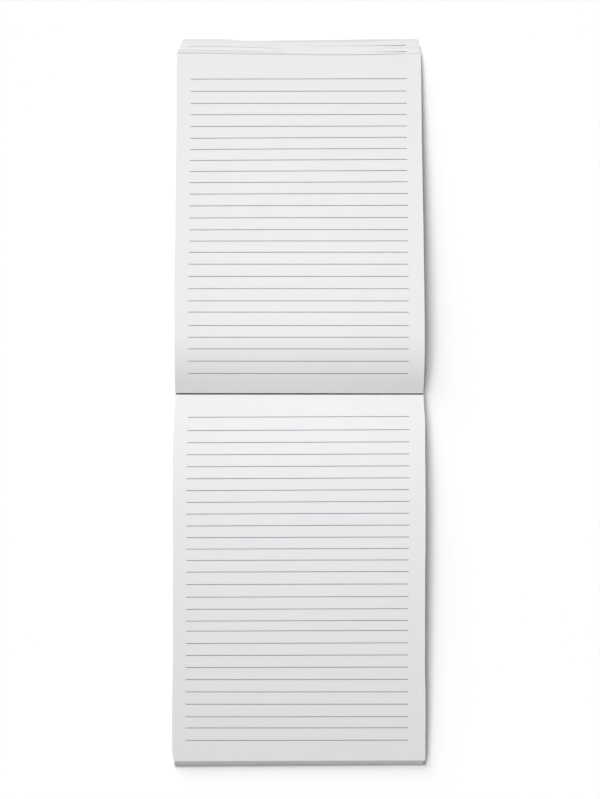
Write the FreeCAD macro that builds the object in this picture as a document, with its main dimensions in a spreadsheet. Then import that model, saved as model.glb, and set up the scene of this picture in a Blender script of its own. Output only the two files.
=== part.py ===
"""Head-bound ruled notepad lying open: the turned leaves lie back over the binding,
the kept leaves lie on their backing board.

Frame, in millimetres: the origin is the middle of the gutter on the plane that the pad
lies on. +X is to the reader's right, +Y runs from the gutter over the turned leaves to
their far edge, -Y runs down the kept leaves to their foot, and +Z is up.

The leaves are one solid, because they are bound into one block. Its form is the long
section of the open pad, in the YZ plane: both pages bow, both roll into the gutter, and
the turned leaves arch off the table. Their far edges are then cut back into a fan, one
bundle of leaves at a time.
"""
import FreeCAD, Part
import os
import Sketcher
from math import atan2

SIZES = [
    # the leaves and their board
    ("leaf_width", 152.4, "width of every leaf"),
    ("leaf_length", 228.6, "length of a leaf, and of the board"),
    ("leaf_thick", 0.11, "thickness of one leaf"),
    ("kept_count", 30, "leaves still lying on the board"),
    ("turned_count", 20, "leaves turned over the binding"),
    ("board_thick", 0.9, "thickness of the greyboard"),
    ("worn_corner", 3.0, "radius of the board's worn corner, at the foot on the left"),
    # the binding at the head
    ("binding_setback", 1.7, "from the gutter to the board's head edge"),
    ("heads_slope", 35, "slope of the glued heads, which lean over, in degrees"),
    ("gum_thick", 0.35, "thickness of the padding gum"),
    # the gutter
    ("gutter_swell", 0.6, "how far the kept page stands above its own stack there"),
    ("gutter_gap", 0.7, "width of the open gutter"),
    ("gutter_depth", 1.7, "from the kept page down to the gutter's floor"),
    ("fold_gap", 0.4, "opening of the fold that runs on to the binding"),
    ("fold_stop", 0.8, "where that fold closes, short of the binding"),
    ("kept_lip", 0.7, "radius of the kept page's roll into the gutter"),
    ("turned_lip", 0.5, "radius of the turned page's roll"),
    ("turned_lift", 0.3, "how far the turned page stands above the kept one there"),
    # the kept leaves
    ("kept_crest_reach", 80.0, "from the gutter to the crest of the kept page"),
    ("kept_bow", 3.6, "how far that crest rises above the stack"),
    ("foot_slip", 3.6, "how far the open page's foot lies behind the lowest leaf's"),
    ("board_lip", 1.6, "how far the board shows beyond the lowest leaf"),
    # the turned leaves
    ("turned_crest_reach", 36.0, "from the gutter to the crest of the turned page"),
    ("turned_arch", 7.8, "height of the hollow below that crest"),
    ("crest_air", 0.6, "air between the turned leaves at their crest"),
    ("edge_air", 0.4, "air between the turned leaves at their far edge"),
    ("turned_take", 5.2, "length that the longest turned leaf loses to its bend"),
    ("touch_setback", 20.0, "from its far edge back to where it touches down"),
    # the fan: how far each bundle of leaves lies back, and how far its middle dips
    ("outer_dip", 1.0, "dip of the longest bundle's edge"),
    ("outer_left", 2.9, "how far that bundle draws in at its left corner"),
    ("outer_right", 2.3, "how far it draws in at its right corner"),
    ("second_setback", 4.2, "second bundle's setback"),
    ("second_dip", 2.9, "second bundle's dip"),
    ("third_setback", 7.4, "third bundle's setback"),
    ("third_dip", 1.4, "third bundle's dip"),
    ("page_setback", 9.9, "open page's setback"),
    ("page_dip", 0.6, "open page's dip"),
]

OVERCUT = 10  # how far a cut runs past the solid
START, END, CENTRE = 1, 2, 3  # the sketcher's numbers for the points of an edge
ORIGIN = -1  # the sketcher's number for its own origin

# Lengths that follow from the sizes, as expressions on the sheet.
SIDE = "sizes.leaf_width / 2"
KEPT_STACK = "sizes.kept_count * sizes.leaf_thick"
TURNED_STACK = "sizes.turned_count * sizes.leaf_thick"
HEADS = f"({KEPT_STACK} + {TURNED_STACK})"
BOARD_FOOT = "(sizes.binding_setback - sizes.leaf_length)"
PAGE_HEIGHT = f"sizes.board_thick + {KEPT_STACK}"
GUTTER_HEIGHT = f"{PAGE_HEIGHT} + sizes.gutter_swell"
GUTTER_FLOOR = f"{GUTTER_HEIGHT} - sizes.gutter_depth"
KEPT_SIDE = "-sizes.gutter_gap / 2"
TURNED_SIDE = "sizes.gutter_gap / 2"
TURNED_END = "sizes.leaf_length - sizes.turned_take"
PAGE_END = f"{TURNED_END} - sizes.page_setback"
FAN_HEIGHT = f"({TURNED_STACK} + sizes.edge_air)"


def make_sheet(doc):
    """Put every driving dimension in one spreadsheet, each under its own alias."""
    sheet = doc.addObject("Spreadsheet::Sheet", "sizes")
    for row, (alias, value, meaning) in enumerate(SIZES, start=1):
        sheet.set(f"A{row}", alias)
        sheet.set(f"B{row}", str(value))
        sheet.set(f"C{row}", meaning)
        sheet.setAlias(f"B{row}", alias)
    doc.recompute()
    return sheet


def along_heads(share):
    """The point that far along the glued heads, from the board to the last leaf."""
    return (
        f"sizes.binding_setback + {share} * {HEADS} * cos(sizes.heads_slope)",
        f"sizes.board_thick + {share} * {HEADS} * sin(sizes.heads_slope)",
    )


def circle_centre(crest, other):
    """Centre of the circle that is level at its crest and passes another point."""
    drop = crest.y - other.y
    radius = ((crest.x - other.x) ** 2 + drop**2) / (2 * drop)
    return FreeCAD.Vector(crest.x, crest.y - radius, 0)


class Outline:
    """A closed path in a sketch. Each corner is a pair of expressions on the sheet."""

    def __init__(self, body, sheet, name, plane, height=None):
        self.sheet = sheet
        self.sketch = body.newObject("Sketcher::SketchObject", name)
        support = next(f for f in body.Origin.OriginFeatures if f.Role == plane)
        self.sketch.AttachmentSupport = [(support, "")]
        self.sketch.MapMode = "FlatFace"
        if height:
            self.sketch.setExpression("AttachmentOffset.Base.z", height)

    def place(self, corner):
        across, up = (float(self.sheet.evalExpression(text)) for text in corner)
        return FreeCAD.Vector(across, up, 0)

    def relate(self, kind, *args):
        return self.sketch.addConstraint(Sketcher.Constraint(kind, *args))

    def bind(self, kind, *args, size):
        """Add a dimension that follows an expression."""
        index = self.relate(kind, *args, float(self.sheet.evalExpression(size)))
        self.sketch.setExpression(f"Constraints[{index}]", size)

    def fix(self, edge, point, corner, hold="xy"):
        """Hold a point of an edge at a corner: in x, in y or in both."""
        if "x" in hold:
            self.bind("DistanceX", ORIGIN, START, edge, point, size=corner[0])
        if "y" in hold:
            self.bind("DistanceY", ORIGIN, START, edge, point, size=corner[1])

    def start(self, corner):
        self.corner = corner
        self.pen = self.place(corner)
        self.last = None

    def join(self, geometry, tail, head, corner, hold, joint):
        """Add an edge to the end of the path, tail first, and hold its head."""
        edge = self.sketch.addGeometry(geometry, False)
        if self.last:
            self.relate(joint, *self.last, edge, tail)
        else:
            self.first = (edge, tail)
            self.fix(edge, tail, self.corner)
        self.fix(edge, head, corner, hold)
        self.last = (edge, head)
        self.pen = self.place(corner)
        return edge

    def line(self, corner, hold="xy"):
        """Draw a straight edge to a corner."""
        straight = Part.LineSegment(self.pen, self.place(corner))
        return self.join(straight, START, END, corner, hold, "Coincident")

    def arc(self, centre, corner, hold="xy", joint="Coincident"):
        """Draw the short arc to a corner, about a centre that is still to be held."""
        near = self.pen - centre
        far = self.place(corner) - centre
        angles = [atan2(near.y, near.x), atan2(far.y, far.x)]
        tail, head = START, END
        if near.cross(far).z < 0:
            angles.reverse()
            tail, head = END, START
        circle = Part.Circle(centre, FreeCAD.Vector(0, 0, 1), far.Length)
        return self.join(Part.ArcOfCircle(circle, *angles), tail, head, corner, hold, joint)

    def climb(self, corner, joint="Coincident"):
        """Draw an arc up to a crest, where it is level."""
        edge = self.arc(circle_centre(self.place(corner), self.pen), corner, joint=joint)
        self.relate("Vertical", edge, CENTRE, *self.last)

    def fall(self, corner, hold="xy"):
        """Draw an arc down from a crest, where it is level."""
        crest = self.last
        edge = self.arc(circle_centre(self.pen, self.place(corner)), corner, hold)
        self.relate("Vertical", edge, CENTRE, *crest)
        return edge

    def dip(self, corner, middle):
        """Draw an arc that sags to a middle point on its way to a corner."""
        edge = self.arc(circle_centre(self.place(middle), self.pen), corner)
        self.through(edge, middle)

    def through(self, edge, corner):
        """Make an edge pass through a point."""
        point = self.sketch.addGeometry(Part.Point(self.place(corner)), True)
        self.fix(point, START, corner)
        self.relate("PointOnObject", point, START, edge)

    def close(self):
        """Draw the last edge, straight back to the start."""
        self.line(self.corner, hold="")
        self.relate("Coincident", *self.last, *self.first)


def draw_kept_leaves(path):
    """Slanted foot, bowed page, and its roll down into the gutter."""
    foot = f"{BOARD_FOOT} + sizes.board_lip"
    path.start((foot, "sizes.board_thick"))
    path.line((f"{foot} + sizes.foot_slip", PAGE_HEIGHT))
    path.climb(("-sizes.kept_crest_reach", f"{PAGE_HEIGHT} + sizes.kept_bow"))
    path.fall((f"{KEPT_SIDE} - sizes.kept_lip", GUTTER_HEIGHT), hold="y")
    centre = path.place(
        (f"{KEPT_SIDE} - sizes.kept_lip", f"{GUTTER_HEIGHT} - sizes.kept_lip")
    )
    wall = (KEPT_SIDE, f"{GUTTER_HEIGHT} - sizes.kept_lip")
    roll = path.arc(centre, wall, hold="x", joint="Tangent")
    path.relate("Horizontal", roll, CENTRE, *path.last)
    path.bind("Radius", roll, size="sizes.kept_lip")


def draw_gutter(path):
    """The gutter's floor and the closed fold that runs from it to the binding."""
    share = "(sizes.kept_count / (sizes.kept_count + sizes.turned_count))"
    across, up = along_heads(share)
    path.line(("0", GUTTER_FLOOR))
    path.line((f"{across} - sizes.fold_stop", up))
    path.line((TURNED_SIDE, f"{GUTTER_FLOOR} + sizes.fold_gap"))


def draw_turned_leaves(path):
    """Roll out of the gutter, arched page, far edge, and the hollow underneath."""
    lip_height = f"{GUTTER_HEIGHT} + sizes.turned_lift"
    crest_height = f"sizes.turned_arch + {TURNED_STACK} + sizes.crest_air"
    wall = (TURNED_SIDE, f"{lip_height} - sizes.turned_lip")
    path.line(wall, hold="x")
    wall_end = path.last
    centre = path.place((f"{TURNED_SIDE} + sizes.turned_lip", wall[1]))
    roll_end = (f"{TURNED_SIDE} + sizes.turned_lip / 2", lip_height)
    roll = path.arc(centre, roll_end, hold="y")
    path.relate("Horizontal", roll, CENTRE, *wall_end)
    path.bind("Radius", roll, size="sizes.turned_lip")
    path.climb(("sizes.turned_crest_reach", crest_height), joint="Tangent")
    page = path.fall((TURNED_END, FAN_HEIGHT), hold="x")
    path.through(page, (PAGE_END, FAN_HEIGHT))
    path.line((TURNED_END, "0"))
    path.line((f"{TURNED_END} - sizes.touch_setback", "0"))
    path.climb(("sizes.turned_crest_reach", "sizes.turned_arch"))
    path.fall(along_heads(1))


def cut_away(body, outline, name, length=None):
    """Cut the outline out of the body upwards: right through, or over a length."""
    uncut = body.Tip.Shape.Volume
    pocket = body.newObject("PartDesign::Pocket", name)
    pocket.Profile = outline.sketch
    pocket.Reversed = True
    pocket.Type = "Length" if length else "ThroughAll"
    if length:
        pocket.setExpression("Length", length)
    body.Document.recompute()
    if not pocket.Shape.Volume < uncut:
        raise RuntimeError(f"{name} cuts nothing")


def draw_waste(path, edge):
    """Close a cut that starts and ends at the sides by going round the fan."""
    path.line((f"{SIDE} + {OVERCUT}", edge))
    path.line((f"{SIDE} + {OVERCUT}", f"{TURNED_END} + {OVERCUT}"))
    path.line((f"-{SIDE} - {OVERCUT}", f"{TURNED_END} + {OVERCUT}"))
    path.line((f"-{SIDE} - {OVERCUT}", edge))
    path.close()


def cut_bundle(body, sheet, bundle, share):
    """Cut back the far edge of all leaves above a share of the fan's height."""
    edge = f"{TURNED_END} - sizes.{bundle}_setback"
    height = f"{share} * {FAN_HEIGHT}"
    path = Outline(body, sheet, f"{bundle}_edge", "XY_Plane", height)
    path.start((f"-{SIDE}", edge))
    path.dip((SIDE, edge), ("0", f"{edge} - sizes.{bundle}_dip"))
    draw_waste(path, edge)
    cut_away(body, path, f"{bundle}_fan")


def cut_longest(body, sheet):
    """Shape the far edge of the lowest bundle, which draws in at both corners."""
    left = f"sizes.outer_left - {SIDE}"
    right = f"{SIDE} - sizes.outer_right"
    path = Outline(body, sheet, "outer_edge", "XY_Plane", f"-{OVERCUT}")
    path.start((f"-{SIDE}", PAGE_END))
    path.line((left, TURNED_END))
    path.dip(
        (right, TURNED_END),
        (f"({left} + {right}) / 2", f"{TURNED_END} - sizes.outer_dip"),
    )
    path.line((SIDE, PAGE_END))
    draw_waste(path, PAGE_END)
    cut_away(body, path, "outer_fan", f"{OVERCUT} + {FAN_HEIGHT} / 4")


def make_body(doc, name):
    body = doc.addObject("PartDesign::Body", name)
    body.Label = name
    return body


def add_pad(body, path, length, side="One side"):
    pad = body.newObject("PartDesign::Pad", f"{body.Name}_pad")
    pad.Profile = path.sketch
    pad.SideType = side
    pad.setExpression("Length", length)
    body.Document.recompute()
    return pad


def make_leaf_block(doc, sheet):
    """All the leaves: the long section across their width, less the steps of the fan."""
    body = make_body(doc, "leaf_block")
    path = Outline(body, sheet, "long_section", "YZ_Plane")
    draw_kept_leaves(path)
    draw_gutter(path)
    draw_turned_leaves(path)
    path.line(along_heads(0))
    path.close()
    add_pad(body, path, "sizes.leaf_width", "Symmetric")
    cut_bundle(body, sheet, "page", "3 / 4")
    cut_bundle(body, sheet, "third", "2 / 4")
    cut_bundle(body, sheet, "second", "1 / 4")
    cut_longest(body, sheet)
    return body


def make_backing_board(doc, sheet):
    """The greyboard under the kept leaves, with one worn corner."""
    body = make_body(doc, "backing_board")
    path = Outline(body, sheet, "board_outline", "XY_Plane")
    path.start((f"-{SIDE}", BOARD_FOOT))
    path.line((SIDE, BOARD_FOOT))
    path.line((SIDE, "sizes.binding_setback"))
    path.line((f"-{SIDE}", "sizes.binding_setback"))
    path.close()
    pad = add_pad(body, path, "sizes.board_thick")
    worn = FreeCAD.Vector(pad.Shape.BoundBox.XMin, pad.Shape.BoundBox.YMin, 0)
    upright = next(
        f"Edge{number}"
        for number, edge in enumerate(pad.Shape.Edges, start=1)
        if edge.CenterOfMass.sub(worn).Length < sheet.board_thick
    )
    fillet = body.newObject("PartDesign::Fillet", "worn_foot")
    fillet.Base = (pad, [upright])
    fillet.setExpression("Radius", "sizes.worn_corner")
    return body


def make_binding_gum(doc, sheet):
    """The strip of gum that runs up the board's head edge and over the glued heads."""
    body = make_body(doc, "binding_gum")
    path = Outline(body, sheet, "gum_section", "YZ_Plane")
    head = "sizes.binding_setback"
    knee, rise = along_heads(0)
    tip, top = along_heads(1)
    miter = "sizes.gum_thick * (tan(sizes.heads_slope) - 1 / cos(sizes.heads_slope))"
    path.start((head, "0"))
    path.line((knee, rise))
    path.line((tip, top))
    path.line(
        (
            f"{tip} + sizes.gum_thick * sin(sizes.heads_slope)",
            f"{top} - sizes.gum_thick * cos(sizes.heads_slope)",
        )
    )
    path.line((f"{head} + sizes.gum_thick", f"{rise} + {miter}"))
    path.line((f"{head} + sizes.gum_thick", "0"))
    path.close()
    add_pad(body, path, "sizes.leaf_width", "Symmetric")
    return body


def check(doc, bodies):
    """Stop before anything is written if an object failed or a shape is not sound."""
    for item in doc.Objects:
        if "Invalid" in item.State or "Error" in item.State:
            raise RuntimeError(f"{item.Name} failed: {item.State}")
    for body in bodies:
        if body.Shape.isNull() or not body.Shape.isValid() or len(body.Shape.Solids) != 1:
            raise RuntimeError(f"{body.Label} is not one sound solid")


def main():
    doc = FreeCAD.newDocument("notepad")
    sheet = make_sheet(doc)
    bodies = [
        make_leaf_block(doc, sheet),
        make_backing_board(doc, sheet),
        make_binding_gum(doc, sheet),
    ]
    doc.recompute()
    check(doc, bodies)
    os.makedirs("parts", exist_ok=True)
    for body in bodies:
        body.Shape.exportStep(f"parts/{body.Label}.step")
        print(f"{body.Label}: {body.Shape.Volume:.0f} mm3, {len(body.Shape.Faces)} faces")


main()
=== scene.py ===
"""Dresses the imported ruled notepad, which lies open with leaves turned over its head.

The open pages, the leaves under them, the ruling, the greyboard back and the padding gum
are each a piece of their own. Lengths are in metres. +Y runs over the turned leaves and
-Y down the kept ones, from a gutter at Y = 0.
"""
from bisect import bisect
from math import inf, pi, radians, sin, tan
from random import Random

import bpy
from bpy.props import FloatProperty, FloatVectorProperty, IntProperty, PointerProperty
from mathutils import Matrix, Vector


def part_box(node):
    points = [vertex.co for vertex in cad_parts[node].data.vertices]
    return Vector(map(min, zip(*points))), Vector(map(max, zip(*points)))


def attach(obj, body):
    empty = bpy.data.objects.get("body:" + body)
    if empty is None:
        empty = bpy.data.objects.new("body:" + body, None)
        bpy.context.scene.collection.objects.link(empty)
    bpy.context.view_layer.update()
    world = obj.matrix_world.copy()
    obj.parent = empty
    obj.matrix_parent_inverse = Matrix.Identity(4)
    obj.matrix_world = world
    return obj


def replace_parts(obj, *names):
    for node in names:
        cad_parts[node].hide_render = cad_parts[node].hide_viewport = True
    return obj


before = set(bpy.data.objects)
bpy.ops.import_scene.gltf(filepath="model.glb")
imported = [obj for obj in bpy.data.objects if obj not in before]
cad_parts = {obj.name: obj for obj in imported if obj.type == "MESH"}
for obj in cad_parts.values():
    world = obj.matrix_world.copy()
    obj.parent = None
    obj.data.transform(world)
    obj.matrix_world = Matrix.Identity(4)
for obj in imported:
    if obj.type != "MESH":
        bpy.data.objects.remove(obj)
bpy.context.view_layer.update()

bl_info = {
    "name": "Ruled Notepad",
    "version": (1, 0, 0),
    "blender": (4, 5, 0),
    "location": "View3D > Sidebar > Notepad",
    "description": "Dresses an open, head-bound ruled notepad leaf by leaf",
    "category": "Add Mesh",
}

MM = 0.001

# --- the form, read from the frame ---

BLOCK_LOW, BLOCK_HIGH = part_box("leaf_block")
BOARD_LOW, BOARD_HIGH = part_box("backing_board")
GUM_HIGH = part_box("binding_gum")[1]

HALF_WIDTH = BLOCK_HIGH.x
BOARD_TOP = BOARD_HIGH.z
HEADS_FOOT = Vector((BOARD_HIGH.y, BOARD_TOP))
HEADS_TOP = Vector((GUM_HIGH.y - 0.2 * MM, GUM_HIGH.z))  # inside the gum

# --- the form of the leaves ---

# The long section of the open pad, in (y, z) points and in heights. The kept page bows a
# little more here than in the solid, and the gutter is a little wider.
KEPT_SHARE = 0.6  # of the glued heads, the share below the gutter's fold
GUTTER_HALF = 0.51 * MM
GUTTER_FLOOR = BOARD_TOP + 0.4 * MM
TURNED_FLOOR = Vector((0.5 * GUTTER_HALF, GUTTER_FLOOR + 0.2 * MM))
BLUNT = 0.05 * MM  # how much each page's edge by the gutter is blunted
WALL_DEPTHS = (10 * BLUNT, BLUNT)  # of the wall's two rows, below that edge
KEPT_EDGE = Vector((-GUTTER_HALF - 0.2 * BLUNT, BOARD_TOP + 3.9 * MM))
KEPT_EVEN_CLIMB = -19 * MM  # how far from the gutter the page climbs evenly
KEPT_CREST = Vector((-70 * MM, BOARD_TOP + 8.0 * MM))
KEPT_FOOT = Vector((BLOCK_LOW.y + 3.6 * MM, BOARD_TOP + 3.3 * MM))
TURNED_EDGE = Vector((GUTTER_HALF + 0.2 * BLUNT, KEPT_EDGE.y - 0.5 * MM))
TURNED_EVEN_CLIMB = 5 * MM
TURNED_CREST = Vector((36 * MM, BLOCK_HIGH.z))
PAGE_END = Vector((BLOCK_HIGH.y - 9.9 * MM, 2.6 * MM))
PAGE_POWER = 1.8  # how the turned page leaves its crest: 2 is a plain bow
ARCH = Vector((TURNED_CREST.x, BLOCK_HIGH.z - 2.8 * MM))  # the top of the hollow
TOUCH_DOWN = Vector((BLOCK_HIGH.y - 20 * MM, 0))
SPRING = HEADS_TOP.x + 0.8 * MM  # where the hollow springs from the heads
SLACK_OUT = (0.0, 60 * MM)  # (start, length) over which the hollow's slack is taken up
LOWEST_LEAF = (1.7, 0.6, 0.0, -0.3, -0.7)  # its stations at the head, in millimetres

# --- how finely it is drawn ---

BUNDLE = 5
GUTTER_ROWS = 4
PAGE_ROWS = 56
ROW_CROWDING = 1.25
ROW_SHARES = [(row / PAGE_ROWS) ** ROW_CROWDING for row in range(1, PAGE_ROWS + 1)]
# A leaf's last rows, at so many millimetres from its far edge. They have a little more
# room than the first of them needs.
TAIL = (38, 30, 23, 17, 12.5, 9, 6.4, 4.6, 3.4, 2.6, 2.1, 1.8, 1.5, 1.2, 0.9, 0.6, 0.3, 0)
TAIL_ROOM = 1.1
PAGE_COLUMNS = 48
LEAF_COLUMNS = 16
SHEET_THICK = 0.105 * MM
FULLEST = 0.995  # the most of a stack's height that its leaves may fill

# The least air under a kept leaf, the play on it, and which of every so many leaves has
# been lifted and let go, and how much looser it lies.
KEPT_AIR, KEPT_PLAY = 0.15, (0.3, 1.0)
LIFTED, LIFTED_EVERY, LIFTED_AIR = 3, 6, 5
# The air under a turned leaf, and what more there is under a bundle.
TURNED_AIR, PARTED_AIR = (0.05, 0.15), 1.0

# Seeds of what is drawn at random.
KEPT_GAP_SEED, TURNED_GAP_SEED = 3, 4
KEPT_LEAF_SEED, TURNED_LEAF_SEED = 5, 6
BOARD_SEED, GUM_SEED = 7, 11


def blend(low, high, share):
    return low + (high - low) * share


def ease(share):
    """A share from 0 to 1 that starts and ends gently."""
    share = min(max(share, 0.0), 1.0)
    return share * share * (3 - 2 * share)


def ramp(place, start, length):
    """A share that eases from 0 to 1 over a length."""
    return ease((place - start) / length)


def curve(knots, place):
    """Height at a place of a smooth line through (place, height) knots."""
    places = [knot[0] for knot in knots]
    place = min(max(place, places[0]), places[-1])
    first = min(bisect(places, place), len(knots) - 1) - 1
    slopes = []
    for here in (first, first + 1):
        before = knots[max(here - 1, 0)]
        after = knots[min(here + 1, len(knots) - 1)]
        slopes.append((after[1] - before[1]) / (after[0] - before[0]))
    (left, low), (right, high) = knots[first : first + 2]
    width = right - left
    share = (place - left) / width
    rest = 1 - share
    return (
        low * rest * rest * (1 + 2 * share)
        + high * share * share * (3 - 2 * share)
        + width * share * rest * (slopes[0] * rest - slopes[1] * share)
    )


def bow(place, crest, end, power=2.0):
    """Height of a page that bows from its crest to a lower end."""
    drop = crest.y - end.y
    return crest.y - drop * ((place - crest.x) / (end.x - crest.x)) ** power


def page_height(y, edge, straight, crest, end, power=2.0):
    """Height of a page that climbs evenly from its edge, eases to its crest, then bows."""
    if abs(y) >= abs(crest.x):
        return bow(y, crest, end, power)
    slope = (crest.y - edge.y) / ((straight - edge.x) + (crest.x - straight) / 2)
    if abs(y) < abs(straight):
        return edge.y + slope * (y - edge.x)
    return crest.y - slope * (crest.x - y) ** 2 / (crest.x - straight) / 2


class Stack:
    """Leaves that lie between two matched lines of (y, z) stations, from head to edge."""

    def __init__(self, under, over, gaps):
        self.under = under
        self.over = over
        self.count = len(gaps)
        total = sum(gaps)
        self.gap_shares = [sum(gaps[: leaf + 1]) / total for leaf in range(self.count)]
        self.reaches = [abs(point.x) for point in over[GUTTER_ROWS:]]
        self.lengths = [0.0]
        for start, end in zip(over[GUTTER_ROWS:], over[GUTTER_ROWS + 1 :]):
            self.lengths.append(self.lengths[-1] + (end - start).length)

    def station_at(self, reach, scale=None):
        """The station that lies so far from the gutter, straight or along the page."""
        scale = scale or self.reaches
        first = max(min(bisect(scale, reach), len(scale) - 1) - 1, 0)
        step = scale[first + 1] - scale[first]
        return GUTTER_ROWS + first + (reach - scale[first]) / step

    def point(self, station, level, side):
        """The (y, z) of a side of a leaf, in the middle of its width."""
        first = min(int(station), len(self.under) - 2)
        share = station - first
        under = blend(self.under[first], self.under[first + 1], share)
        over = blend(self.over[first], self.over[first + 1], share)
        height = (over - under).length
        thickness = min(SHEET_THICK, FULLEST * height / self.count)
        air = height - thickness * self.count
        rise = thickness * (level + side) + air * self.gap_shares[level]
        return blend(under, over, rise / height)


def out_of_gutter(floor, wall, edge):
    """Stations of an open page from its head, up the gutter's wall, to its edge there."""
    heads = blend(HEADS_FOOT, HEADS_TOP, KEPT_SHARE)
    return [heads, floor, *(Vector((wall, edge.y - depth)) for depth in WALL_DEPTHS), edge]


def kept_stack(count):
    """The leaves on the board, loosened most near the open page."""
    over = out_of_gutter(Vector((0, GUTTER_FLOOR)), -GUTTER_HALF, KEPT_EDGE)
    under = [Vector((y * MM, BOARD_TOP)) for y in LOWEST_LEAF]
    for share in ROW_SHARES:
        y = blend(KEPT_EDGE.x, KEPT_FOOT.x, share)
        z = page_height(y, KEPT_EDGE, KEPT_EVEN_CLIMB, KEPT_CREST, KEPT_FOOT)
        over.append(Vector((y, z)))
        under.append(Vector((blend(KEPT_EDGE.x, BLOCK_LOW.y, share), BOARD_TOP)))
    random = Random(KEPT_GAP_SEED)
    gaps = []
    for leaf in range(count):
        gap = (KEPT_AIR + leaf / count) * random.uniform(*KEPT_PLAY)
        gaps.append(gap * (LIFTED_AIR if leaf % LIFTED_EVERY == LIFTED else 1))
    gaps[0] = 0.0
    return Stack(under, over, gaps)


def turned_stack():
    """The leaves turned back over the binding, in the bundles of the fan."""
    over = out_of_gutter(TURNED_FLOOR, GUTTER_HALF, TURNED_EDGE)
    spring = Vector((SPRING, bow(SPRING, ARCH, HEADS_TOP)))
    slack = SPRING - TURNED_EDGE.x
    page = (TURNED_EDGE, TURNED_EVEN_CLIMB, TURNED_CREST, PAGE_END, PAGE_POWER)
    under = [blend(HEADS_TOP, spring, row / GUTTER_ROWS) for row in range(GUTTER_ROWS + 1)]
    for share in ROW_SHARES:
        y = blend(TURNED_EDGE.x, BLOCK_HIGH.y, share)
        over.append(Vector((y, page_height(y, *page))))
        low = y + slack * (1 - ramp(y, *SLACK_OUT))
        height = bow(low, ARCH, HEADS_TOP if low < ARCH.x else TOUCH_DOWN)
        under.append(Vector((low, height if low < TOUCH_DOWN.x else 0)))
    random = Random(TURNED_GAP_SEED)
    gaps = []
    for leaf in range(BUNDLE * len(FAN)):
        gap = random.uniform(*TURNED_AIR)
        gaps.append(gap + (PARTED_AIR if leaf % BUNDLE == 0 else 0.0))
    gaps[0] = 0.0
    return Stack(under, over, gaps)


# --- how each leaf lies ---

class Bundle:
    """Turned leaves whose far edges lie together in the fan. Millimetres.

    burr is how far the far edge turns up, in (x, height) knots. stagger is how far the
    lowest leaf shows beyond the top one, and swing how far they all swing left. left and
    right say for each side how far it draws in, how much more it does at the corner, and
    over what length the corner rounds. edge is the far edge, in (x, y) knots.
    """

    def __init__(self, burr, left, right, edge, stagger=0.75, swing=0.0):
        self.burr = [(x * MM, height * MM) for x, height in burr]
        self.stagger = stagger * MM
        self.swing = swing * MM
        self.left = [length * MM for length in left]
        self.right = [length * MM for length in right]
        self.edge = [(x * MM, y * MM) for x, y in edge]


FAN = (
    Bundle(
        burr=((-34, 0.06), (-24, 0.18), (10, 0.2), (30, 0.22), (52, 0.24), (60, 0.06)),
        stagger=0.4,
        left=(1.2, 1.1, 4.5),
        right=(1.6, 0.3, 1.2),
        edge=(
            (-76, 223.0), (-37, 222.7), (0, 222.95), (32, 223.3), (54, 223.65), (76, 223.85),
        ),
    ),
    Bundle(
        burr=((-20, 0.08), (-8, 0.03), (45, 0.03), (58, 0.08)),
        left=(1.2, 2.1, 5.0),
        right=(0.5, 0.0, 1.0),
        edge=(
            (-76, 223.3), (-47, 223.1), (-35, 221.9), (-22, 219.6), (-14, 218.8),
            (10, 218.3), (58, 218.5), (76, 219.2),
        ),
    ),
    Bundle(
        burr=((-76, 0.26), (76, 0.22)),
        swing=0.3,
        left=(0.0, 0.3, 1.5),
        right=(0.3, 0.0, 1.0),
        edge=(
            (-76, 216.6), (-50, 216.4), (-38, 216.15), (-19, 215.7), (-5, 215.1),
            (12, 214.6), (30, 214.1), (76, 214.3),
        ),
    ),
    Bundle(
        burr=((60, 0.32), (68, 0.14)),
        swing=0.45,
        left=(0.0, 0.1, 0.8),
        right=(-0.3, 0.1, 0.8),
        edge=(
            (-76, 214.6), (-50, 214.4), (-12, 213.8), (26, 213.4), (57, 213.7), (76, 214.5),
        ),
    ),
)

# The gentle waves that every leaf shares: (share, length across, length along, start).
# A negative length runs the other way.
RIPPLES = (
    (1.0, 21 * MM, 47 * MM, 0.0),
    (0.7, 34 * MM, -29 * MM, 1.3),
    (0.5, inf, 18 * MM, 0.6),
)
RIPPLE_SUM = 2.2


def ripple(x, y):
    """Height of the leaves' waves, on a scale of 1."""
    waves = (share * sin(x / wide + y / long + start) for share, wide, long, start in RIPPLES)
    return sum(waves) / RIPPLE_SUM


# Each pair is the (start, length) from the gutter over which an effect comes in or dies
# away. The waves calm down towards the far edge by the share named after them.
KEPT_AWAY = (0.0, 30 * MM)
KEPT_CALMED, KEPT_CALM = (130 * MM, 95 * MM), 0.7
TURNED_AWAY = (12 * MM, 30 * MM)
TURNED_CALMED, TURNED_CALM = (150 * MM, 70 * MM), 0.6
DRAWN_IN = (150 * MM, 60 * MM)
SWUNG = (40 * MM, 130 * MM)

# How far the leaves under the kept page show beyond its left side, as (reach from the
# gutter, millimetres) knots, and over what share of the stack this comes in.
LEFT_SHOW = (
    (0, 0.0), (12, 0.4), (23, 0.1), (36, 0.3), (57, 0.2), (75, 0.4), (97, 0.28),
    (127, 0.3), (161, 0.23), (189, 0.48), (203, 0.5), (216, 0.47), (221, 0.75),
    (226, 0.95),
)
SHOW_SHARE = 0.3

# How far the kept leaves draw in at their right side, and the turned ones at their left,
# as (reach from the gutter, millimetres) knots.
KEPT_DRAW = (
    (0, 0.0), (14, -0.3), (25, 0.0), (60, 0.25), (91, 0.05), (113, 0.3), (168, 0.4),
    (182, 0.1), (226, 0.05),
)
TURNED_DRAW = (
    (0, 0.0), (16, 0.25), (29, 0.4), (56, 0.3), (84, 0.3), (98, 0.52), (166, 0.55),
    (180, 0.4), (194, 0.12), (224, 0.1),
)

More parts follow.
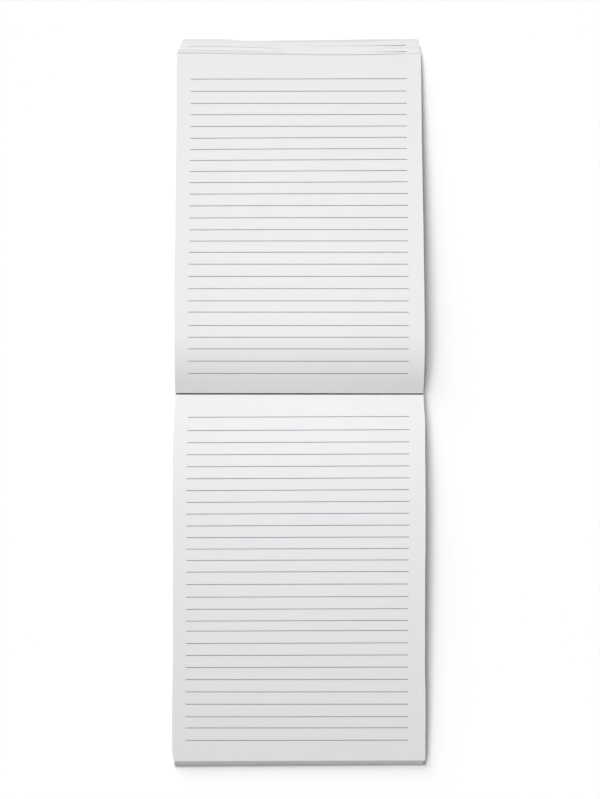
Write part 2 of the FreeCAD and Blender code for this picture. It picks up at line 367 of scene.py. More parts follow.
# How far the left foot corner is worn in, and over what length.
PAGE_WEAR, LEAF_WEAR = 0.5 * MM, 1.3 * MM
CORNER_LENGTH = 8 * MM

# How much wider the kept leaves lie where they bow up most steeply.
SPREAD = 0.006
SPREAD_IN = (8 * MM, 12 * MM)
SPREAD_OUT = (60 * MM, 35 * MM)

# How far the gutter lies towards the turned page, at its left end and at its right one.
GUTTER_ASKEW = (0.1 * MM, -0.02 * MM)
ASKEW_OUT = (0.0, 25 * MM)

# How much lower the turned leaves lie at the gutter's right end.
LIP_DROP = 0.3 * MM
LIP_OUT = (0.0, 14 * MM)

# How far from true the covered leaves may lie: kept ones to the side and along, turned
# ones to the side.
LEAN_PLAY, SLIP_PLAY, SHIFT_PLAY = 0.12 * MM, 0.15 * MM, 0.1 * MM
STAGGER_PLAY = (0.7, 1.0)

# How bright the covered leaves are beside the open pages: a random tone of their own, all set
# darker than the open pages as painted shade between the leaves. And how much brighter than
# them the top leaf of each bundle is painted, as painted light.
KEPT_TONES_AND_SHADE = (0.9, 0.95)
TURNED_TONES_AND_SHADE = (0.91, 0.95)
SHOWN_PAINTED_LIGHT = 1.1

# How near its far edge a turned leaf starts to turn up, over what length it does, and by
# what share the covered ones do.
BURR_START, BURR_LENGTH = 1.2 * MM, 0.9 * MM
COVERED_BURR = 0.6


def askew(x, reach):
    """How far a point moves with the gutter, which doesn't run quite square."""
    lie = blend(*GUTTER_ASKEW, (1 + x / HALF_WIDTH) / 2)
    return lie * (1 - ramp(reach, *ASKEW_OUT))


class Leaf:
    """One leaf of a stack, of which the lowest is level 0.

    place() says where it has a point that is so far across, at a station, on its under
    side or, for a side of 1, its upper one. A station may lie between two.
    """

    def __init__(self, stack, level, sizes):
        self.stack = stack
        self.level = level
        self.height = (level + 1) / stack.count
        self.wave = sizes.ripple_height * self.height


class KeptLeaf(Leaf):
    """How one leaf on the board lies: its foot is skewed and it lies off to the left."""

    def __init__(self, stack, level, sizes, random):
        super().__init__(stack, level, sizes)
        covered = level < stack.count - 1
        self.lean = sizes.left_lean * (1 - self.height)
        self.lean += LEAN_PLAY * random.uniform(-1, 1) * covered
        self.show = ease((1 - self.height) / SHOW_SHARE)
        self.wear = blend(PAGE_WEAR, LEAF_WEAR, self.show)
        self.slip = SLIP_PLAY * random.uniform(-1, 1) * covered
        self.skew = sizes.foot_skew
        # Painted shade: covered kept leaves are darker than the open page, for the shade between
        # leaves; within that range their tone differs at random.
        self.tone = random.uniform(*KEPT_TONES_AND_SHADE)

    def end_reach(self, x):
        return self.stack.reaches[-1]

    def place(self, x, station, side):
        y, z = self.stack.point(station, self.level, side)
        reach = -y
        edge = self.end_reach(x)
        away = ramp(reach, *KEPT_AWAY)
        calm = 1 - KEPT_CALM * ramp(reach, *KEPT_CALMED)
        z += self.wave * ripple(x, y) * away * calm
        x *= 1 + SPREAD * ramp(reach, *SPREAD_IN) * (1 - ramp(reach, *SPREAD_OUT))
        y += x * self.skew * away + self.slip * ease(reach / edge) + askew(x, reach)
        swing = self.lean * away + self.show * curve(LEFT_SHOW, reach / MM) * MM
        if x < 0:
            near_end = max(0.0, 1 - (edge - reach) / CORNER_LENGTH)
            swing += self.wear * near_end**2 * x / HALF_WIDTH
        else:
            swing += curve(KEPT_DRAW, reach / MM) * MM * x / HALF_WIDTH
        return (x - swing, y, z)


class TurnedLeaf(Leaf):
    """How one turned leaf lies: it ends in its bundle's edge and draws in there."""

    def __init__(self, stack, level, sizes, random):
        super().__init__(stack, level, sizes)
        self.bundle = FAN[level // BUNDLE]
        covered = level % BUNDLE < BUNDLE - 1
        self.shift = SHIFT_PLAY * random.uniform(-1, 1) * covered
        below = 1 - (level % BUNDLE) / (BUNDLE - 1)
        self.slip = self.bundle.stagger * below * random.uniform(*STAGGER_PLAY)
        self.turn_up = COVERED_BURR if covered else 1.0
        # Painted shade on covered turned leaves, darker than the open page, and painted light on
        # the top leaf of each bundle, brighter; the rest is each leaf's random tone.
        self.tone = random.uniform(*TURNED_TONES_AND_SHADE) * (1.0 if covered else SHOWN_PAINTED_LIGHT)

    def end_reach(self, x):
        return curve(self.bundle.edge, x) + self.slip

    def drawn_in(self, x, y):
        """How far a point at the leaf's side lies in from its full width."""
        side, corner, length = self.bundle.left if x < 0 else self.bundle.right
        end = curve(self.bundle.edge, x)
        near_end = max(0.0, 1 - (end - y) / length)
        drawn = side * ramp(y, *DRAWN_IN) + corner * near_end**2
        return drawn + (curve(TURNED_DRAW, y / MM) * MM if x < 0 else 0.0)

    def place(self, x, station, side):
        y, z = self.stack.point(station, self.level, side)
        away = ramp(y, *TURNED_AWAY) * (1 - TURNED_CALM * ramp(y, *TURNED_CALMED))
        z += self.wave * ripple(x, y) * away
        near_end = (BURR_START - (self.end_reach(x) - y)) / BURR_LENGTH
        z += self.turn_up * curve(self.bundle.burr, x) * ease(near_end)
        drawn = self.drawn_in(x, y) * abs(x) / HALF_WIDTH
        z -= LIP_DROP * self.height * ease(x / HALF_WIDTH) * (1 - ramp(y, *LIP_OUT))
        swing = self.bundle.swing * ramp(y, *SWUNG)
        y += askew(x, y)
        return (x + self.shift - swing - (drawn if x > 0 else -drawn), y, z)


# --- meshes ---

# Painted shade in the gutter: how dark the open pages are painted in the fold, row by row
# up from the binding, where shade falls in the crevice.
FOLD_PAINTED_SHADE = (0.04, 0.04, 0.22)
SHARP_ANGLE = radians(35)


class MeshDraft:
    """Points and faces gathered for one piece, with a tone for each face, which may hold painted
    shade or painted light.
    """

    def __init__(self):
        self.points = []
        self.faces = []
        self.tones = []

    def add_sheet(self, lower, upper, tone, painted_fold_shade=()):
        """Add a closed sheet between two grids of points. Its first rows may be darkened row by
        row, as painted shade.
        """
        rows, columns = len(lower), len(lower[0])
        base = len(self.points)
        top = base + rows * columns
        for row in lower + upper:
            self.points.extend(row)
        for row in range(rows - 1):
            # Painted shade: the fold's first rows are darkened where shade falls in the gutter.
            shade = tone * (painted_fold_shade[row] if row < len(painted_fold_shade) else 1.0)
            for column in range(columns - 1):
                a = row * columns + column
                b = a + columns
                self.faces.append((top + a, top + a + 1, top + b + 1, top + b))
                self.faces.append((base + a, base + b, base + b + 1, base + a + 1))
                self.tones.extend([shade] * 2)
        rim = list(range(columns))
        rim += [row * columns + columns - 1 for row in range(1, rows)]
        rim += [(rows - 1) * columns + column for column in range(columns - 2, -1, -1)]
        rim += [row * columns for row in range(rows - 2, 0, -1)]
        for here, there in zip(rim, rim[1:] + rim[:1]):
            self.faces.append((base + here, base + there, top + there, top + here))
        self.tones.extend([tone] * (len(self.faces) - len(self.tones)))

    def build(self, name, material, slot):
        """Make the object, and name what it rides on and takes its finish from."""
        mesh = bpy.data.meshes.new(name)
        mesh.from_pydata(self.points, [], self.faces)
        mesh.shade_smooth()
        mesh.set_sharp_from_angle(angle=SHARP_ANGLE)
        # The tone of each face, with the painted shade and painted light set in it.
        tone = mesh.attributes.new("tone", "FLOAT", "FACE")
        tone.data.foreach_set("value", self.tones)
        mesh.materials.append(material)
        mesh.validate()
        piece = bpy.data.objects.new(name, mesh)
        bpy.context.collection.objects.link(piece)
        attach(piece, "root")
        return piece


def even_places(half, steps):
    """Places across a width, from left to right, in so many equal steps."""
    return [half * (2 * step / steps - 1) for step in range(steps + 1)]


def leaf_grids(leaf, columns):
    """The under and upper grids of points of one leaf, its rows crowding to its edge."""
    grids = ([], [])
    across = even_places(HALF_WIDTH, columns)
    plain = leaf.stack.station_at(leaf.end_reach(0) - TAIL_ROOM * TAIL[0] * MM)
    for row in range(int(plain) + 1):
        for side, grid in enumerate(grids):
            grid.append([leaf.place(x, row, side) for x in across])
    for distance in TAIL:
        reaches = [leaf.end_reach(x) - distance * MM for x in across]
        stations = [leaf.stack.station_at(reach) for reach in reaches]
        for side, grid in enumerate(grids):
            grid.append([leaf.place(x, at, side) for x, at in zip(across, stations)])
    return grids


# --- ruling ---

INK_PROUD = 0.014 * MM
INK_SUNK = 0.01 * MM

# How the press wandered down each page. The feed along the page, and the lean at its
# right side, are (rule, millimetres) knots. The drift is how far the ruling lies to the
# right of the page's middle, at its first rule and one past its last.
KEPT_PRESS = {
    "feed": (
        (0, -0.5), (1, 0.35), (5, 0.55), (8, 0.1), (10, -0.15), (13, -1.2), (15, -0.65),
        (17, -0.8), (18, -2.0), (19, -1.8), (21, -1.75), (24, -1.2), (25, -0.85),
        (26, -1.35), (27, -1.05),
    ),
    "lean": (
        (0, -0.18), (2, -0.04), (8, -0.06), (12, 0.08), (17, 0.02), (20, 0.06),
        (23, 0.25), (27, 0.2),
    ),
    "drift": (-0.25 * MM, -1.2 * MM),
}
TURNED_PRESS = {
    "feed": (
        (0, -1.8), (2, -1.25), (4, -1.55), (5, -0.6), (6, -0.95), (8, -0.4), (10, 0.05),
        (12, -0.45), (14, 0.1), (16, 0.35), (20, -0.35), (22, 0.1), (23, 0.15),
        (25, 1.65),
    ),
    "lean": (
        (0, -0.04), (8, -0.02), (13, 0.17), (16, 0.34), (19, 0.44), (20, 0.4),
        (22, 0.1), (25, 0.17),
    ),
    "drift": (-0.35 * MM, 0.2 * MM),
}

# The rules that show on the fanned leaves, by their bundle, as (x, y, width) knots in
# millimetres.
FANNED_RULES = {
    1: (
        (-71, 218.7, 0.12), (-50, 218.65, 0.13), (-40, 218.45, 0.12), (-30, 218.1, 0.1),
        (-19, 217.6, 0.1), (-10, 216.8, 0.06), (7, 216.1, 0.03), (35, 215.4, 0.06),
        (58, 215.3, 0.24), (64, 215.3, 0.4), (67.8, 215.3, 0.65),
    ),
    0: (
        (-24, 220.5, 0.1), (-16, 220.3, 0.08), (-5, 219.9, 0.05), (12, 219.35, 0.07),
        (27.8, 219.4, 0.1), (44, 219.5, 0.16), (58.6, 219.6, 0.3), (68.4, 219.9, 0.44),
    ),
}


def rule_columns(left, right):
    """Where a rule has points across the page: its ends and the page's own columns."""
    columns = even_places(HALF_WIDTH, PAGE_COLUMNS)
    return [left] + [x for x in columns if left < x < right] + [right]


def add_rule(draft, leaf, scale, across, places, widths):
    """Add a film of ink to a leaf's upper side, through places on its scale of length."""
    grids = ([], [])
    for edge in (-0.5, 0.5):
        for grid, rise in zip(grids, (-INK_SUNK, INK_PROUD)):
            row = []
            for x, place, width in zip(across, places, widths):
                station = leaf.stack.station_at(place + edge * width, scale)
                px, py, pz = leaf.place(x, station, 1)
                row.append((px, py, pz + rise))
            grid.append(row)
    draft.add_sheet(*grids, 1.0)


def rule_page(leaf, sizes, margin, count, feed, lean, drift):
    """Rule an open page from its head margin down, as evenly as its press fed it."""
    draft = MeshDraft()
    for rule in range(count):
        place = margin + rule * sizes.rule_pitch + curve(feed, rule) * MM
        slope = curve(lean, rule) * MM / HALF_WIDTH
        middle = blend(*drift, rule / count)
        left, right = middle - sizes.rule_reach_left, middle + sizes.rule_reach_right
        across = rule_columns(left, right)
        places = [place + slope * x for x in across]
        widths = [sizes.rule_width] * len(across)
        add_rule(draft, leaf, leaf.stack.lengths, across, places, widths)
    return draft


def rule_fan(leaves):
    """Draw the rules that show on the leaves fanned out beyond the open page."""
    draft = MeshDraft()
    for bundle, knots in FANNED_RULES.items():
        leaf = leaves[(bundle + 1) * BUNDLE - 1]
        middle = [(x * MM, y * MM) for x, y, width in knots]
        breadth = [(x * MM, width * MM) for x, y, width in knots]
        across = rule_columns(middle[0][0], middle[-1][0])
        places = [curve(middle, x) for x in across]
        widths = [curve(breadth, x) for x in across]
        add_rule(draft, leaf, leaf.stack.reaches, across, places, widths)
    return draft


# --- board and gum ---

BOARD_HALF = HALF_WIDTH - 0.1 * MM
BOARD_FOOT = BOARD_LOW.y + 0.45 * MM
BOARD_HEAD = BOARD_HIGH.y - 0.05 * MM
# How far the foot's corners stand out, and how much of its skew the left one takes.
LEFT_FLARE, RIGHT_FLARE = 0.3 * MM, 0.8 * MM
LEFT_SKEW = 0.6
# Radii of the corners that aren't worn: at the foot's right, then the head's two.
CUT_CORNERS = [0.8 * MM, 0.3 * MM, 0.3 * MM]
CORNER_STEPS = 8
OUTLINE_SPACING = 4 * MM
RAGGED = 0.06 * MM  # how unevenly the edge was cut
BEVEL = 0.16 * MM
BEVEL_IN, BEVEL_UP = 0.4 * BEVEL, 0.3 * BEVEL  # the middle of its round
BOARD_MARGIN = 6 * MM  # how far in the flat faces start
BOARD_DIP = 0.01 * MM  # how far the top lies below the leaves

GUM_HALF = HALF_WIDTH - 0.05 * MM
GUM_FOOT = 0.02 * MM
GUM_CLEAR = 0.01 * MM
GUM_SKIN = 0.33 * MM
GUM_COLUMNS = 96
GUM_ON_BOARD = (0.0, 0.35, 0.7)  # its rows up the board, as shares of the way
GUM_HEAD_ROWS = 12
# How much of the skin there is, and how much each brush mark changes it. Each mark has a
# width and a turn from one row to the next.
GUM_MEAN, BRUSH_DEPTH = 0.84, 0.05
BRUSH_MARKS = ((2.1 * MM, 0.5), (5.3 * MM, -0.4), (0.9 * MM, 0.0))
# The share of the skin that is left at its top, and near its ends.
GUM_TOP_SHARE = 0.35
GUM_END, GUM_END_SHARE = 0.5 * MM, 0.6


def rounded_outline(corners, radii):
    """Points round a convex outline whose corners are rounded, anticlockwise."""
    points = []
    for place, (corner, radius) in enumerate(zip(corners, radii)):
        before = (corners[place - 1] - corner).normalized()
        after = (corners[(place + 1) % len(corners)] - corner).normalized()
        half = before.angle(after) / 2
        reach = radius / tan(half)
        centre = corner + (before + after).normalized() * (radius / sin(half))
        start = (corner + before * reach - centre).normalized()
        end = (corner + after * reach - centre).normalized()
        for step in range(CORNER_STEPS + 1):
            points.append(centre + start.slerp(end, step / CORNER_STEPS) * radius)
    return points


def resample(points):
    """The closed outline again, its long sides cut up evenly."""
    dense = []
    for here, there in zip(points, points[1:] + points[:1]):
        parts = max(1, int((there - here).length / OUTLINE_SPACING))
        dense += [blend(here, there, part / parts) for part in range(parts)]
    return dense


def make_board(sizes, material):
    """The greyboard back: skewed at the foot, one corner worn, its edges softened."""
    lift = HALF_WIDTH * sizes.board_skew
    corners = [
        Vector((-BOARD_HALF - LEFT_FLARE, BOARD_FOOT - LEFT_SKEW * lift)),
        Vector((BOARD_HALF + RIGHT_FLARE, BOARD_FOOT + lift)),
        Vector((BOARD_HALF, BOARD_HEAD)),
        Vector((-BOARD_HALF, BOARD_HEAD)),
    ]
    outline = resample(rounded_outline(corners, [sizes.worn_corner] + CUT_CORNERS))
    middle = Vector((0, (BOARD_FOOT + BOARD_HIGH.y) / 2))
    count = len(outline)
    random = Random(BOARD_SEED)
    ragged = [RAGGED * random.random() for point in outline]
    inward = []
    for here in range(count):
        along = outline[(here + 1) % count] - outline[here - 1]
        inward.append(Vector((-along.y, along.x)).normalized())
    # Rings of (inset, height), from the middle of the underside to that of the top.
    lower = [(BOARD_MARGIN, 0.0), (BEVEL, 0.0), (BEVEL_IN, BEVEL_UP), (0.0, BEVEL)]
    upper = [(inset, BOARD_TOP - max(height, BOARD_DIP)) for inset, height in lower]
    rings = lower + [(0.0, BOARD_TOP / 2)] + upper[::-1]
    draft = MeshDraft()
    for inset, height in rings:
        for point, normal, rag in zip(outline, inward, ragged):
            if inset > BEVEL:
                moved = point + (middle - point).normalized() * inset
            else:
                moved = point + normal * (inset + rag * (inset < BEVEL))
            draft.points.append((moved.x, moved.y, height))
    last = len(draft.points) - count
    for low in range(0, last, count):
        high = low + count
        for here in range(count):
            there = (here + 1) % count
            draft.faces.append((low + here, low + there, high + there, high + here))
    draft.faces.append(tuple(reversed(range(count))))
    draft.faces.append(tuple(range(last, last + count)))
    draft.tones = [1.0] * len(draft.faces)
    return draft.build("greyboard_back", material, "greyboard")


def make_gum(material):
    """The brushed strip of gum over the board's head edge and the glued heads."""
    heads = (HEADS_TOP - HEADS_FOOT).normalized()
    off_board, off_heads = Vector((1, 0)), Vector((heads.y, -heads.x))
    path = []
    for share in GUM_ON_BOARD:
        path.append((Vector((HEADS_FOOT.x, blend(GUM_FOOT, BOARD_TOP, share))), off_board))
    path.append((HEADS_FOOT, (off_board + off_heads).normalized()))
    for row in range(1, GUM_HEAD_ROWS + 1):
        path.append((blend(HEADS_FOOT, HEADS_TOP, row / GUM_HEAD_ROWS), off_heads))
    random = Random(GUM_SEED)
    marks = [(*mark, random.uniform(0, 2 * pi)) for mark in BRUSH_MARKS]
    grids = ([], [])
    for row, (point, outward) in enumerate(path):
        for grid in grids:
            grid.append([])
        for x in even_places(GUM_HALF, GUM_COLUMNS):
            brush = sum(sin(x / width + start + turn * row) for width, turn, start in marks)
            skin = GUM_SKIN * (GUM_MEAN + BRUSH_DEPTH * brush)
            if row == len(path) - 1:
                skin *= GUM_TOP_SHARE
            if abs(x) > GUM_HALF - GUM_END:
                skin *= GUM_END_SHARE
            for grid, rise in zip(grids, (skin, GUM_CLEAR)):
                moved = point + outward * rise
                grid[-1].append((x, moved.x, max(moved.y, 0.0)))
    draft = MeshDraft()
    draft.add_sheet(*grids, 1.0)
    return draft.build("padding_gum_strip", material, "padding_gum")


# --- materials ---

NODE_SPACING = 200

# The pulp's sockets and what they start at, the turns of its lying fibres in degrees,
# how much narrower than long they are, and what each mask takes of its own texture.
PULP_SIZES = {
    "Cloud Size": 6.0 * MM,
    "Fibre Length": 2.5 * MM,
    "Speck Size": 0.5 * MM,
    "Speck Share": 0.1,
}
FIBRE_TURNS = (12, 71, 133)
FIBRE_FINENESS = 7.0
CLOUD_RANGE = (0.3, 0.7)
FIBRE_RANGE = (0.45, 0.75)
SPECK_RANGE = (0.1, 0.35)


class NodeSheet:
    """The nodes of a material, world or group, drawn up afresh."""

    def __init__(self, tree):
        self.tree = tree
        tree.nodes.clear()

    def add(self, kind, inputs=None, **settings):
        """Add a node, its inputs joined to outputs or set to plain values."""
        node = self.tree.nodes.new(kind)
        node.location.x = NODE_SPACING * len(self.tree.nodes)
        for name, value in settings.items():
            setattr(node, name, value)
        for name, value in (inputs or {}).items():
            socket = node.inputs[name]
            if isinstance(value, bpy.types.NodeSocket):
                self.tree.links.new(value, socket)
            else:
                socket.default_value = (*value, 1.0) if socket.type == "RGBA" else value
        return node

    def mix(self, share, low, high, kind="MIX"):
        """A colour between two, each an output or a plain colour."""
        inputs = {0: share, 6: low, 7: high}
        node = self.add("ShaderNodeMix", inputs, data_type="RGBA", blend_type=kind)
        return node.outputs[2]

    def spread(self, value, low, high, to_low=0.0, to_high=1.0):
        """A value taken from one range to another, and held in it."""
        names = ("Value", "From Min", "From Max", "To Min", "To Max")
        inputs = dict(zip(names, (value, low, high, to_low, to_high)))
        return self.add("ShaderNodeMapRange", inputs).outputs["Result"]

    def maths(self, operation, first, second):
        """The result of an operation on two values."""
        inputs = {0: first, 1: second}
        return self.add("ShaderNodeMath", inputs, operation=operation).outputs[0]


def pulp_group():
    """Pulp's look: soft clouds of density, lying fibres and specks, each from 0 to 1."""
    name = "Pulp stock"
    if name in bpy.data.node_groups:
        return bpy.data.node_groups[name]
    group = bpy.data.node_groups.new(name, "ShaderNodeTree")
    kind = "NodeSocketFloat"
    for socket, size in PULP_SIZES.items():
        made = group.interface.new_socket(socket, in_out="INPUT", socket_type=kind)
        made.default_value = size
    for socket in ("Clouds", "Fibres", "Specks"):
        group.interface.new_socket(socket, in_out="OUTPUT", socket_type=kind)
    sheet = NodeSheet(group)
    given = sheet.add("NodeGroupInput").outputs
    place = sheet.add("ShaderNodeTexCoord").outputs["Object"]

    def texture(kind, label, vector, size, **inputs):
        inputs |= {"Vector": vector, "Scale": sheet.maths("DIVIDE", 1.0, given[size])}
        return sheet.add(kind, inputs, label=label).outputs

    clouds = texture(
        "ShaderNodeTexNoise", "clouds", place, "Cloud Size", Detail=4.0, Roughness=0.6
    )
    layers = []
    for turn in FIBRE_TURNS:
        lie = {
            "Vector": place,
            "Rotation": (0.0, 0.0, radians(turn)),
            "Scale": (1.0, FIBRE_FINENESS, FIBRE_FINENESS),
        }
        lay = sheet.add("ShaderNodeMapping", lie, label="lie of fibres").outputs[0]
        fibres = texture(
            "ShaderNodeTexNoise", "fibres", lay, "Fibre Length", Detail=2.0, Distortion=0.4
        )
        layers.append(sheet.spread(fibres["Fac"], *FIBRE_RANGE))
    felt = sheet.maths("MAXIMUM", sheet.maths("MAXIMUM", layers[0], layers[1]), layers[2])

    specks = texture("ShaderNodeTexVoronoi", "specks", place, "Speck Size")
    chance = sheet.add("ShaderNodeSeparateColor", {"Color": specks["Color"]}).outputs[0]
    chosen = sheet.maths("LESS_THAN", chance, given["Speck Share"])
    near = sheet.spread(specks["Distance"], *SPECK_RANGE, 1.0, 0.0)
    masks = {
        "Clouds": sheet.spread(clouds["Fac"], *CLOUD_RANGE),
        "Fibres": felt,
        "Specks": sheet.maths("MULTIPLY", chosen, near),
    }
    sheet.add("NodeGroupOutput", masks)
    return group


class Finish(NodeSheet):
    """A material with its own sizes of pulp, in the order of PULP_SIZES."""

    def __init__(self, name, *pulp_sizes):
        self.material = bpy.data.materials.new(name)
        self.material.use_nodes = True
        super().__init__(self.material.node_tree)
        sizes = dict(zip(PULP_SIZES, pulp_sizes))
        self.masks = self.add("ShaderNodeGroup", sizes, node_tree=pulp_group()).outputs

    def mask(self, name, low, high):
        """One of the pulp's masks, taken to a range of its own."""
        return self.spread(self.masks[name], 0, 1, low, high)

    def blotch(self, low, high):
        """A colour that goes from one to another with the pulp's clouds."""
        return self.mix(self.masks["Clouds"], low, high)

    def shade(self, colour, rough, gloss, relief, strength):
        """Give the material its shader, rough by a mask, its fibres standing up."""
        lift = {"Height": self.masks["Fibres"], "Distance": relief, "Strength": strength}
        look = {
            "Base Color": colour,
            "Roughness": self.mask(*rough),
            "Specular IOR Level": gloss,
            "Normal": self.add("ShaderNodeBump", lift).outputs["Normal"],
        }
        shader = self.add("ShaderNodeBsdfPrincipled", look)
        self.add("ShaderNodeOutputMaterial", {"Surface": shader.outputs["BSDF"]})
        return self.material


def tint(colour, gain, most=1.0):
    """A colour made darker or paler, with no channel past the most."""
    return tuple(min(most, channel * gain) for channel in colour)


def writing_paper(colours):
    """Smooth white writing paper: faint clouds, each leaf a little off its neighbours. The leaf
    tone also carries painted shade and painted light.
    """
    finish = Finish("paper_finish", 9 * MM, 1.6 * MM, 0.9 * MM, 0.03)
    body = finish.blotch(tint(colours.paper, 0.988), colours.paper)
    body = finish.mix(finish.mask("Fibres", 0, 0.012), body, (0.6, 0.58, 0.55))
    body = finish.mix(finish.mask("Specks", 0, 0.03), body, (0.5, 0.48, 0.42))
    # Leaf tone: each leaf's random tone, painted shade in the fold and on covered leaves, and
    # painted light on the top leaf of each bundle.
    tone = finish.add("ShaderNodeAttribute", label="leaf tone", attribute_name="tone")
    body = finish.mix(1.0, body, tone.outputs["Color"], "MULTIPLY")
    return finish.shade(body, ("Fibres", 0.72, 0.8), gloss=0.25, relief=0.01 * MM, strength=0.25)


def ruling_ink(colours):
    """Thin grey ink, a little uneven where the paper took it up."""
    finish = Finish("ink_finish", 3 * MM, 0.8 * MM, 0.4 * MM, 0.2)
    body = finish.blotch(colours.ink, tint(colours.ink, 1.5))
    body = finish.mix(finish.mask("Specks", 0, 0.25), body, colours.paper)
    return finish.shade(body, ("Fibres", 0.6, 0.75), gloss=0.3, relief=0.005 * MM, strength=0.2)


def greyboard(colours):
    """Recycled greyboard: felted grey fibres with pale and dark flecks."""
    finish = Finish("greyboard_finish", 5 * MM, 2.2 * MM, 0.8 * MM, 0.12)
    body = finish.blotch(tint(colours.board, 0.92), colours.board)
    body = finish.mix(finish.mask("Fibres", 0, 0.5), body, tint(colours.board, 1.2, 0.9))
    body = finish.mix(finish.mask("Specks", 0, 0.4), body, tint(colours.board, 0.4))
    return finish.shade(body, ("Fibres", 0.85, 0.95), gloss=0.2, relief=0.04 * MM, strength=0.4)


def padding_gum(colours):
    """Dried padding gum: a cream skin with brush marks and a slight gloss."""
    finish = Finish("gum_finish", 8 * MM, 6 * MM, 1.2 * MM, 0.1)
    body = finish.blotch(tint(colours.gum, 0.88), colours.gum)
    body = finish.mix(finish.mask("Specks", 0, 0.3), body, tint(colours.gum, 0.7))
    return finish.shade(body, ("Clouds", 0.32, 0.5), gloss=0.45, relief=0.08 * MM, strength=0.5)


def seen_directly(sheet):
    """One where the eye, a reflection or a clear material sees the surface, else nought."""
    path = sheet.add("ShaderNodeLightPath").outputs
    eye = sheet.maths("MAXIMUM", path["Is Camera Ray"], path["Is Glossy Ray"])
    return sheet.maths("MAXIMUM", eye, path["Is Transmission Ray"])


def table_top(colours):
    """Matt white table, seen clean and bright but still taking the pad's shadow."""
    material = bpy.data.materials.new("table_finish")
    material.use_nodes = True
    sheet = NodeSheet(material.node_tree)
    place = sheet.add("ShaderNodeTexCoord").outputs["Object"]
    noise = sheet.add("ShaderNodeTexNoise", {"Vector": place, "Scale": TABLE_GRAIN})
    lit = sheet.mix(noise.outputs["Fac"], tint(colours.table, 0.98), colours.table)
    away = sheet.add("ShaderNodeVectorMath", {0: place, 1: TOP_AIM}, operation="DISTANCE")
    seen = sheet.spread(away.outputs["Value"], *TABLE_REACH, *TABLE_GAIN)
    plain = sheet.add("ShaderNodeBsdfDiffuse", {"Color": lit}).outputs[0]
    bright = sheet.add("ShaderNodeBsdfDiffuse", {"Color": seen}).outputs[0]
    looks = {0: seen_directly(sheet), 1: plain, 2: bright}
    shader = sheet.add("ShaderNodeMixShader", looks)
    sheet.add("ShaderNodeOutputMaterial", {"Surface": shader.outputs[0]})
    return material


def make_room(strength):
    """Even light from all round, from a room that is itself seen as plain white."""
    world = bpy.data.worlds.new("room")
    world.use_nodes = True
    sheet = NodeSheet(world.node_tree)
    gain = sheet.spread(seen_directly(sheet), 0, 1, strength, 1.0)
    room = sheet.add("ShaderNodeBackground", {"Color": (1.0, 1.0, 1.0), "Strength": gain})
    sheet.add("ShaderNodeOutputWorld", {"Surface": room.outputs["Background"]})
    return world


def finish_named(name, make):
    """The finish, made the first time that a piece asks for it."""
    return bpy.data.materials.get(name) or make(bpy.context.scene.notepad_colours)


# --- the stage ---

# A broad window past the head and the left side, as three daylights: which side each
# comes from, and how many degrees it spreads over.
DAYLIGHTS = {
    "high": (Vector((-0.63, 0.2, 1.0)), 34.0),
    "head": (Vector((-0.35, 1.5, 1.0)), 26.0),
    "low": (Vector((-1.2, 2.15, 1.0)), 32.0),
}
TOP_PLACE = Vector((0.0, 0.05, 0.37))
TOP_AIM = Vector((0.0, 0.05, 0.0))
TABLE_SIZE = 4.0
TABLE_GRAIN = 40.0
# How bright the table shows at two distances from under the lamp.
TABLE_REACH = (0.05, 0.5)
TABLE_GAIN = (1.025, 1.295)
CAMERA_PLACE = Vector((0.40, -20.4, 479.7)) * MM
CAMERA_AIM = Vector((0.40, -3.19, 0.0)) * MM
LENS = 34.91
SENSOR = 36.0
NEAREST = 10 * MM


def add_aimed(name, data, place, target, **looks):
    """Stand a camera or a lamp at a place, looking at a target."""
    for setting, value in looks.items():
        setattr(data, setting, value)
    piece = bpy.data.objects.new(name, data)
    piece.location = place
    piece.rotation_mode = "QUATERNION"
    piece.rotation_quaternion = (target - place).to_track_quat("-Z", "Y")
    bpy.context.collection.objects.link(piece)
    return piece


def add_light(kind, name, place, target, **looks):
    """A lamp or a daylight, of a plain white."""
    add_aimed(name, bpy.data.lights.new(name, kind), place, target, **looks)


# --- settings ---

def a_setting(kind, **looks):
    """A way to ask for settings of a kind, by their name, description and default."""

    def ask(name, description, default):
        return kind(name=name, description=description, default=default, **looks)

    return ask


a_length = a_setting(FloatProperty, min=0, precision=5, subtype="DISTANCE", unit="LENGTH")
a_number = a_setting(FloatProperty)
a_power = a_setting(FloatProperty, unit="POWER")
a_count = a_setting(IntProperty, min=2)
a_colour = a_setting(FloatVectorProperty, size=3, min=0.0, max=1.0, subtype="COLOR")


class NotepadSizes(bpy.types.PropertyGroup):
    """Sizes of the notepad, in metres."""

    kept_count: a_count("Kept leaves", "Leaves still lying on the board", 30)
    left_lean: a_length("Left lean", "How far left the lowest kept leaf lies", 0.9 * MM)
    foot_skew: a_number("Foot skew", "Rise of the kept leaves across", 0.0036)
    board_skew: a_number("Board skew", "Rise of the board's foot edge across", 0.0074)
    worn_corner: a_length("Worn corner", "Radius of the board's worn corner", 1.5 * MM)
    ripple_height: a_length("Ripple height", "Height of the waves in the leaves", 0.12 * MM)
    rule_pitch: a_length("Rule pitch", "Distance from one rule to the next", 7.254 * MM)
    rule_width: a_length("Rule width", "Width of a printed rule", 0.4 * MM)
    rule_reach_left: a_length("Rule reach left", "Middle to a rule's left end", 67.5 * MM)
    rule_reach_right: a_length("Rule reach right", "Middle to its right end", 66.9 * MM)
    kept_margin: a_length("Kept margin", "Gutter to the kept page's rules", 14.1 * MM)
    turned_margin: a_length("Turned margin", "Gutter to the turned page's rules", 14.14 * MM)
    kept_rules: a_count("Kept rules", "Rules on the kept page", 28)
    turned_rules: a_count("Turned rules", "Rules on the turned page", 26)


